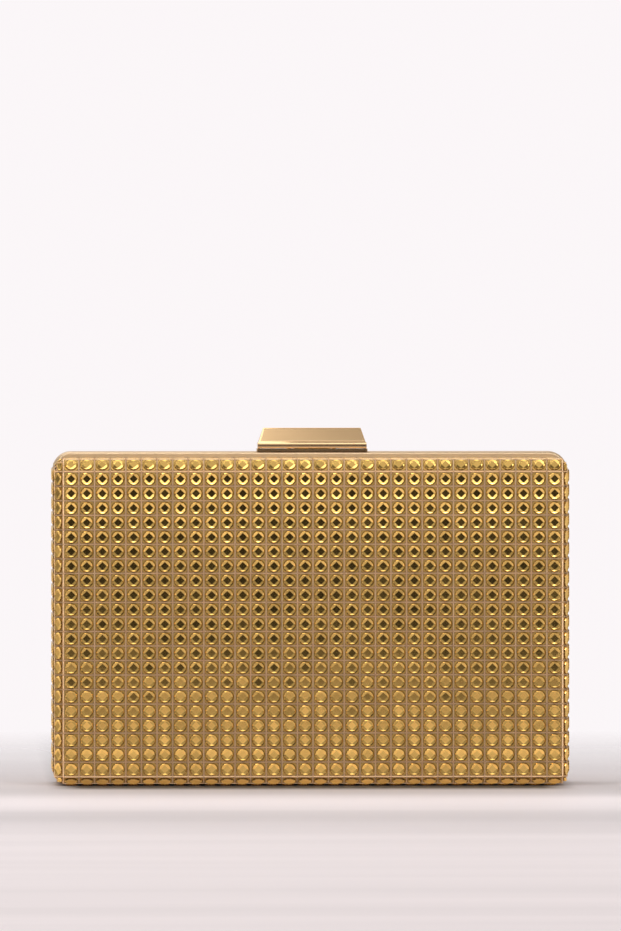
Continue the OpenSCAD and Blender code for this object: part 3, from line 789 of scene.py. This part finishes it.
class CLUTCH_OT_stone_covers(bpy.types.Operator):
    """Cover both halves in mesh, threads, seats and cut stones"""
    bl_idname = "clutch.stone_covers"
    bl_label = "Stone Covers"

    def execute(self, context):
        s = sizes()
        for number, half in enumerate(HALVES):
            cells = half_cells(half)
            dice = random.Random(11 + number)
            pitch = cells[0][1].length
            body = half + "_half"
            node = half + "_stone_cover"
            tones, places = [], []
            for cell in cells:
                tones.append(dice.random())
                places.append(stone_matrix(cell, dice))
            stones = copies(cut_stone(s.stone_h), places, tones)
            done(stones, half + "_stones")
            finish_piece(stones, body, "gold_stone", stone_material(), node)
            grid = [cell_matrix(cell, pitch) for cell in cells]
            seats = copies(seat_model(pitch, s.stone_h), grid)
            done(seats, half + "_stone_seats")
            finish_piece(seats, body, "gold_stone", seat_material(), node)
            runs = [cell_matrix((middle + shift / 2, along, over), pitch) for middle, u, v in cells
                    for shift, along, over in ((-v, u, v), (v, u, v), (-u, v, -u), (u, v, -u))]
            threads = copies(thread_model(pitch), runs)
            done(threads, half + "_mesh_threads")
            finish_piece(threads, body, "gold_stone", thread_material(), node)
            finish_piece(mesh_sheet(half), body, "gold_stone", backing_material(), node)
            finish_piece(trimmed_shell(half), body, "shell_plastic", shell_material(),
                         half + "_shell")
        return {"FINISHED"}


# Clasp bar

class CLUTCH_OT_clasp_bar(bpy.types.Operator):
    """Model the hollow clasp bar with its panelled slopes"""
    bl_idname = "clutch.clasp_bar"
    bl_label = "Clasp Bar"

    def execute(self, context):
        s = sizes()
        lo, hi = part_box("clasp_bar")
        width, depth, height = hi - lo
        top_w = width - BAR_TOP_IN
        slim_w = width - 2 * FOOT_BEVEL
        slim_d = depth - 2 * FOOT_BEVEL
        middle = (lo + hi) / 2
        bar = cube(lo, (hi.x, hi.y, lo.z + FOOT_H))
        edit(bar)
        slope_h = height - FOOT_H - FOOT_BEVEL
        for rise, share_x, share_y in ((FOOT_BEVEL, slim_w / width, slim_d / depth),
                                       (slope_h, top_w / slim_w, BAR_TOP_D / slim_d)):
            pick_faces(bar, lambda f: f.normal.z > FACING)
            draw_out((0, 0, rise), (share_x, share_y, 1), center_override=middle)
        bpy.ops.object.mode_set(mode="OBJECT")
        for material in (bar_polished(), bar_brushed(), shaded_foot_metal()):
            bar.data.materials.append(material)
        apply_modifier(bar, "BEVEL", width=s.bar_round, segments=3, limit_method="ANGLE",
                       angle_limit=math.radians(20))
        edit(bar)
        slope_z = lo.z + FOOT_H + FOOT_BEVEL
        pick_faces(bar, lambda f: (f.center.z > slope_z and f.area > PANEL_AREA
                                   and abs(f.normal.y) > PANEL_FACING))
        bpy.ops.mesh.inset(thickness=s.panel_rim, use_individual=True)
        bpy.ops.mesh.inset(thickness=PANEL_STEP, depth=PANEL_DEPTH, use_individual=True)
        bpy.ops.object.mode_set(mode="OBJECT")
        for face in bar.data.polygons:
            broad = face.area > PANEL_AREA / 2
            if face.select or (broad and face.center.z > slope_z):
                face.material_index = 1
            # Broad faces of the foot take the painted-shade copy of the bar's gold
            elif broad:
                face.material_index = 2
        hollow = cube((lo.x + BAR_WALL, lo.y + BAR_WALL, lo.z - BAR_WALL),
                      (hi.x - BAR_WALL, hi.y - EAR_ROOM * BAR_WALL, lo.z + FOOT_H))
        edit(hollow)
        pick_faces(hollow, lambda f: f.normal.z > FACING)
        scale = ((top_w - 2 * BAR_WALL) / (width - 2 * BAR_WALL),
                 (BAR_TOP_D - BAR_WALL) / (depth - 2 * BAR_WALL), 1)
        draw_out((0, 0, height - FOOT_H - BAR_WALL), scale, center_override=middle)
        bpy.ops.object.mode_set(mode="OBJECT")
        past = Vector((BAR_WALL, BAR_WALL, BAR_WALL))
        under, end = lo - past, hi + past
        heel = cube((under.x, hi.y - BAR_WALL, under.z), (end.x, end.y, lo.z + HEEL_LIFT))
        wedge = cube((under.x, HEEL_Y, under.z), (end.x, end.y, lo.z))
        for v in wedge.data.vertices:
            if v.co.z > lo.z - BAR_WALL / 2 and v.co.y > hi.y:
                v.co.z += HEEL_SLOPE * (end.y - HEEL_Y)
        for tool in (hollow, heel, wedge):
            apply_modifier(bar, "BOOLEAN", operation="DIFFERENCE", object=tool, solver="EXACT")
            bpy.data.objects.remove(tool)
        done(bar, "clasp_bar_shell", smooth=28)
        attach(bar, "clasp")
        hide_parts("clasp_bar")
        return {"FINISHED"}


# Linings

def satin_tray(half):
    """Satin tray that lines a half: four walls and a back, rounded where they meet"""
    s = sizes()
    side = HALVES[half]
    lo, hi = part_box(half + "_lining")
    tray = cube(lo, hi)
    edit(tray)
    pick_faces(tray, lambda f: f.normal.y * side < -FACING)
    bpy.ops.mesh.delete(type="FACE")
    pick_edges(tray, lambda p, q: abs(p.y - q.y) > s.edge)
    bpy.ops.mesh.bevel(offset=s.lining_round, segments=4, offset_type="OFFSET")
    pick_edges(tray, lambda p, q: (p.y + q.y) * side > (lo.y + hi.y) * side + 2 * s.edge)
    bpy.ops.mesh.bevel(offset=s.lining_round * 0.86, segments=3, offset_type="OFFSET")
    bpy.ops.mesh.select_all(action="SELECT")
    bpy.ops.mesh.remove_doubles(threshold=MM / 1000)
    bpy.ops.mesh.normals_make_consistent(inside=False)
    bpy.ops.object.mode_set(mode="OBJECT")
    apply_modifier(tray, "SOLIDIFY", thickness=SHEET_T, offset=-1.0)
    return tray


def crowned_pad(half):
    """Crowned pad on the back of the tray: it swells in the middle and pulls in at its seams"""
    s = sizes()
    side = HALVES[half]
    lo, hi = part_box(half + "_lining")
    deep = side * max(abs(lo.y), abs(hi.y))
    inset = s.lining_round + PAD_INSET
    size = Vector((hi.x - lo.x - 2 * inset, hi.z - lo.z - 2 * inset))
    pad = upright_grid(*PAD_GRID, *size)
    dice = random.Random(5)
    creases = [(dice.uniform(*CREASE_WAVES), dice.uniform(*CREASE_LEAN), dice.uniform(0, 6.3))
               for _ in range(CREASES)]
    for v in pad.data.vertices:
        rim = min(size.x / 2 - abs(v.co.x), size.y / 2 - abs(v.co.z))
        swell = min(1, rim / PAD_RIM) ** 0.5
        fold = sum(math.sin(k * v.co.x * (1 + lean * v.co.z * 8) + phase)
                   for k, lean, phase in creases)
        fold /= 2 * CREASES
        lift = PAD_BASE + s.pad_lift * swell * (0.85 + 0.3 * fold)
        v.co = ((lo.x + hi.x) / 2 + v.co.x, deep - side * lift, (lo.z + hi.z) / 2 + v.co.z)
    return pad


class CLUTCH_OT_linings(bpy.types.Operator):
    """Line both halves with padded satin"""
    bl_idname = "clutch.linings"
    bl_label = "Satin Linings"

    def execute(self, context):
        for half in HALVES:
            pad = crowned_pad(half)
            apply_modifier(pad, "SOLIDIFY", thickness=PAD_T, offset=0.0)
            tray = satin_tray(half)
            pad.select_set(True)
            bpy.ops.object.join()
            done(tray, half + "_satin_lining", smooth=50)
            finish_piece(tray, half + "_half", "lining_cloth", satin_material(), half + "_lining")
        return {"FINISHED"}


def pocket_height(v, lo, hi, front):
    """Where the pocket's cloth lies along Y: flat along its sewn edges, and free at the top"""
    s = sizes()
    rim = min(v.x - lo.x, hi.x - v.x, v.z - lo.z)
    rise = max(0, min(1, (rim - s.hem) / POCKET_RISE))
    rise = rise * rise * (3 - 2 * rise)
    high = (v.z - lo.z) / (hi.z - lo.z)
    short, long = PUCKER_WAVES
    fold = math.sin(v.x * short + 1.3) * math.sin(v.x * long) * PUCKER * rise * high
    back = hi.y - POCKET_BACK
    return back + (front - back) * rise * (0.75 + 0.2 * high) + fold


def seam_steps(start, end):
    """Even steps of the stitches from one end of a seam to the other"""
    count = round((end - start) / STITCH_STEP)
    return [start + (end - start) * i / count for i in range(count + 1)]


class CLUTCH_OT_slip_pocket(bpy.types.Operator):
    """Sew the slip pocket: its cloth, the rolled hem and the stitches"""
    bl_idname = "clutch.slip_pocket"
    bl_label = "Slip Pocket"

    def execute(self, context):
        s = sizes()
        lo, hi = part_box("slip_pocket")
        front = lo.y + POCKET_FRONT
        top = hi.z - 2 * POCKET_ROOM
        mid_x = (lo.x + hi.x) / 2
        cloth = upright_grid(*POCKET_GRID, hi.x - lo.x - 2 * POCKET_ROOM, top - lo.z - POCKET_ROOM,
                             (mid_x, 0, (top + lo.z) / 2))
        for v in cloth.data.vertices:
            v.co.y = pocket_height(v.co, lo, hi, front)
        apply_modifier(cloth, "SOLIDIFY", thickness=SHEET_T, offset=0.0)
        done(cloth, "slip_pocket_cloth", smooth=60)
        hem = rod(HEM_SIDES, HEM_R, hi.x - lo.x - 4 * s.hem)
        apply_modifier(hem, "BEVEL", width=HEM_ROUND, segments=2, limit_method="ANGLE")
        hem.data.transform(Matrix.Translation((mid_x, lo.y + HEM_IN, hi.z - HEM_DROP)))
        done(hem, "slip_pocket_hem", smooth=40)
        stitch = rod(STITCH_SIDES, STITCH_R, STITCH_L)
        for v in stitch.data.vertices:
            v.co.x *= 1 - STITCH_TAPER * abs(v.co.z) / STITCH_R
        inset = s.hem / 2
        upright = Matrix.Rotation(math.radians(90), 4, "Y")
        spots = [(x, z, Matrix()) for x in seam_steps(lo.x + inset, hi.x - inset)
                 for z in (lo.z + inset, hi.z - HEM_SEAM)]
        spots += [(x, z, upright) for z in seam_steps(lo.z + inset, top - inset)[1:-1]
                  for x in (lo.x + inset, hi.x - inset)]
        places = []
        for x, z, turn in spots:
            y = pocket_height(Vector((x, 0, z)), lo, hi, front) - STITCH_SINK
            places.append(Matrix.Translation((x, y, z)) @ turn)
        stitches = done(copies(stitch, places), "slip_pocket_stitches", smooth=40)
        for piece, material in ((cloth, satin_material()), (hem, satin_material()),
                                (stitches, seat_material())):
            finish_piece(piece, "rear_half", "lining_cloth", material, "slip_pocket")
        return {"FINISHED"}


# CAD nodes that keep their shape

def paint(node, material):
    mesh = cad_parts[node].data
    mesh.materials.clear()
    mesh.materials.append(material)


class CLUTCH_OT_metal_parts(bpy.types.Operator):
    """Finish the frames, hinges, base plates, pins, rivets and springs"""
    bl_idname = "clutch.metal_parts"
    bl_label = "Metal Parts"

    def execute(self, context):
        gold = ("rear_frame", "front_frame")
        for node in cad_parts:
            if "shell" in node:
                paint(node, shell_material())
            elif "pin" in node or "spring" in node or "tongue" in node:
                paint(node, pin_metal())
            # Base plates take the painted-shade copy of the bar's gold
            elif "plate" in node:
                paint(node, shaded_foot_metal())
            elif node in gold or "rivets" in node or "leaf" in node:
                paint(node, frame_metal())
        return {"FINISHED"}


# Stage

class CLUTCH_OT_stage(bpy.types.Operator):
    """Set the pale floor, the soft lamps, the world and the camera"""
    bl_idname = "clutch.stage"
    bl_label = "Stage"

    def execute(self, context):
        scene = context.scene
        clear_selection()
        bpy.ops.mesh.primitive_plane_add(size=FLOOR_W)
        floor = done(bpy.context.object, "floor")
        for v in floor.data.vertices:
            v.co.y = FLOOR_ENDS[v.co.y > 0]
        floor.data.materials.append(floor_material())
        lamp("key_strip", (0.0, -0.3, 0.3), (0, 0, 0.09), (0.42, 0.055), 0.38)
        for side in (-1, 1):
            lamp("key_wing", (0.3 * side, -0.5, 0.44), (0, 0, 0.06), (0.26, 0.09), 0.22)
        lamp("top_lamp", (-0.5, 0.45, 1.5), (0, 0, 0.06), (1.2, 1.2), 7.5)
        lamp("clasp_lamp", (-0.096, -0.075, 0.37), (-0.096, -0.075, 0), (0.14, 0.12), 0.13)
        card = lamp("low_card", (0.0, -0.3, 0.21), (0, 0, 0.03), (0.5, 0.1), 0.22)
        card.visible_camera = False
        fill = lamp("thread_fill", (0.0, -5.0, 0.12), (0, 0, 0.06), (1.5, 1.0), 102.0)
        fill.visible_glossy = False
        world_light(scene)
        set_camera(scene)
        scene.view_settings.view_transform = "Standard"
        return {"FINISHED"}


def lamp(name, place, target, size, power):
    clear_selection()
    bpy.ops.object.light_add(type="AREA", location=place)
    light = bpy.context.object
    light.name = name
    light.data.shape = "RECTANGLE"
    light.data.size, light.data.size_y = size
    light.data.energy = power
    light.rotation_euler = (Vector(target) - Vector(place)).to_track_quat("-Z", "Y").to_euler()
    return light


@made_once("materials", "pale_floor")
def floor_material(name):
    """Pale boards with soft streaks along X, with painted shade in bands along Y and a painted
    contact shadow by the bag, faded out at the back.

    Reflections get a plainer floor that ends nearer than the camera's does, so the stones' tables
    turn from bright to dark part of the way up the bag.
    """
    material, tree, shader = new_material(name, 0.0, 0.6)
    place = on_object(tree)
    x, y = add_node(tree, "SeparateXYZ", {0: place}).outputs[:2]
    camera_ray = add_node(tree, "LightPath").outputs["Is Camera Ray"]
    stretch = add_node(tree, "Mapping", {"Vector": place, "Scale": (1.2, 9.0, 1.0)}).outputs[0]
    streaks = ranged(tree, noise(tree, stretch, 1.6, 2.0), 0.35, 0.65)
    tone = mix_colour(tree, streaks, scaled(colours().floor, 0.93), tuple(colours().floor))
    # Painted shade: darker bands across the floor in front of the bag, eased for reflections
    shade_levels = ((-1.55, 1.0), (-1.0, 0.98), (-0.75, 0.94), (-0.61, 0.91), (-0.48, 0.85),
              (-0.35, 0.60), (-0.28, 0.51), (-0.21, 0.64), (-0.15, 0.70), (-0.08, 0.55))
    steps = ((0.0, 1.0), *[((at + 2) / 2, level) for at, level in shade_levels], (1.0, 0.6))
    shade_bands = grey_ramp(tree, ranged(tree, y, -2.0, 0.0), steps, "CARDINAL")
    # Painted contact shadow: a dark patch on the floor just in front of the bag, faint in
    # reflections
    under = ranged(tree, maths(tree, "ABSOLUTE", x), 0.08, 0.092, 1.0, 0.0)
    close = ranged(tree, y, -0.065, -0.035, 0.0, 0.9, interpolation_type="SMOOTHSTEP")
    depth = ranged(tree, camera_ray, 0.0, 1.0, 0.12)
    painted_contact_shadow = maths(tree, "MULTIPLY", maths(tree, "MULTIPLY", under, close), depth)
    ends = maths(tree, "MAXIMUM", ranged(tree, y, -0.35, -0.2, 1.0, 0.0),
                 ranged(tree, y, -0.1, -0.06))
    plain = maths(tree, "MAXIMUM", maths(tree, "MULTIPLY", shade_bands, 0.8), ends)
    shown = add_node(tree, "Mix", {0: camera_ray, 2: plain, 3: shade_bands}).outputs[0]
    level = maths(tree, "MULTIPLY", shown, maths(tree, "SUBTRACT", 1.0, painted_contact_shadow))
    seen = maths(tree, "MAXIMUM", ranged(tree, y, -1.15, -1.0), camera_ray)
    solid = maths(tree, "MULTIPLY", ranged(tree, y, 0.03, 0.55, 1.0, 0.0), seen)
    feed(tree, shader, {"Base Color": tinted(tree, tone, level), "Alpha": solid})
    return material


def world_light(scene):
    """Pale behind and above the bag, dim low in front, as in a studio seen from the bag"""
    world = bpy.data.worlds.new("studio")
    scene.world = world
    world.use_nodes = True
    tree = world.node_tree
    tree.nodes.clear()
    place = add_node(tree, "TexCoord").outputs["Generated"]
    x, y, z = add_node(tree, "SeparateXYZ", {0: place}).outputs
    spots = ranged(tree, noise(tree, place, 60.0, 3.0), 0.52, 0.7, 0.02, 0.38)
    greys = ((0.03, 0.0), (0.16, 0.46), (0.62, 0.48), (0.7, 0.8), (0.82, 0.8), (0.9, 0.2))
    front = grey_ramp(tree, z, greys)
    sides = ranged(tree, maths(tree, "ABSOLUTE", x), 0.42, 0.66, 0.0, 0.16)
    ahead = maths(tree, "MAXIMUM", maths(tree, "MAXIMUM", front, sides), spots)
    level = add_node(tree, "Mix", {0: ranged(tree, y, -0.25, 0.1), 2: ahead, 3: 0.9}).outputs[0]
    glow = add_node(tree, "Background", {"Color": (1, 0.97, 0.96, 1), "Strength": level})
    shown = add_node(tree, "Background", {"Color": (0.965, 0.925, 0.94, 1), "Strength": 1.0})
    camera_ray = add_node(tree, "LightPath").outputs["Is Camera Ray"]
    shaders = {0: camera_ray, 1: glow.outputs[0], 2: shown.outputs[0]}
    both = add_node(tree, "MixShader", shaders).outputs[0]
    add_node(tree, "OutputWorld", {"Surface": both})


def set_camera(scene):
    """Long lens, level, in front and a little to the left; the shift frames the bag"""
    height = CAMERA_FAR * math.tan(CAMERA_RISE) + CAMERA_AIM_Z
    clear_selection()
    bpy.ops.object.camera_add(
        location=(-CAMERA_FAR * math.sin(CAMERA_YAW), -CAMERA_FAR * math.cos(CAMERA_YAW), height),
        rotation=(math.radians(90), 0, -CAMERA_YAW))
    camera = bpy.context.object
    camera.name = "photo_camera"
    lens = camera.data
    lens.sensor_width = 36.0
    lens.lens = lens.sensor_width * CAMERA_FAR / (IMAGE_H * PIXEL)
    lens.shift_x = (IMAGE_W / 2 - ORIGIN_PX[0]) / IMAGE_H
    lens.shift_y = (ORIGIN_PX[1] - IMAGE_H / 2) / IMAGE_H - height / (IMAGE_H * PIXEL)
    lens.clip_end = 50
    scene.camera = camera


class CLUTCH_PT_panel(bpy.types.Panel):
    """Sidebar panel with every step of the bag"""
    bl_idname = "CLUTCH_PT_panel"
    bl_label = "Box Clutch"
    bl_space_type = "VIEW_3D"
    bl_region_type = "UI"
    bl_category = "Box Clutch"

    def draw(self, context):
        for settings in (context.scene.clutch_sizes, context.scene.clutch_colours):
            box = self.layout.box()
            for key in settings.bl_rna.properties.keys():
                if key not in ("rna_type", "name"):
                    box.prop(settings, key)
        for operator in OPERATORS:
            self.layout.operator(operator.bl_idname)


OPERATORS = (CLUTCH_OT_metal_parts, CLUTCH_OT_stone_covers, CLUTCH_OT_clasp_bar, CLUTCH_OT_linings,
             CLUTCH_OT_slip_pocket, CLUTCH_OT_stage)
CLASSES = (ClutchSizes, ClutchColours) + OPERATORS + (CLUTCH_PT_panel,)


def register():
    for item in CLASSES:
        bpy.utils.register_class(item)
    bpy.types.Scene.clutch_sizes = PointerProperty(type=ClutchSizes)
    bpy.types.Scene.clutch_colours = PointerProperty(type=ClutchColours)


def unregister():
    del bpy.types.Scene.clutch_colours
    del bpy.types.Scene.clutch_sizes
    for item in reversed(CLASSES):
        bpy.utils.unregister_class(item)


def main():
    register()
    bpy.ops.clutch.metal_parts()
    bpy.ops.clutch.stone_covers()
    bpy.ops.clutch.clasp_bar()
    bpy.ops.clutch.linings()
    bpy.ops.clutch.slip_pocket()
    bpy.ops.clutch.stage()


if __name__ == "__main__":
    main()
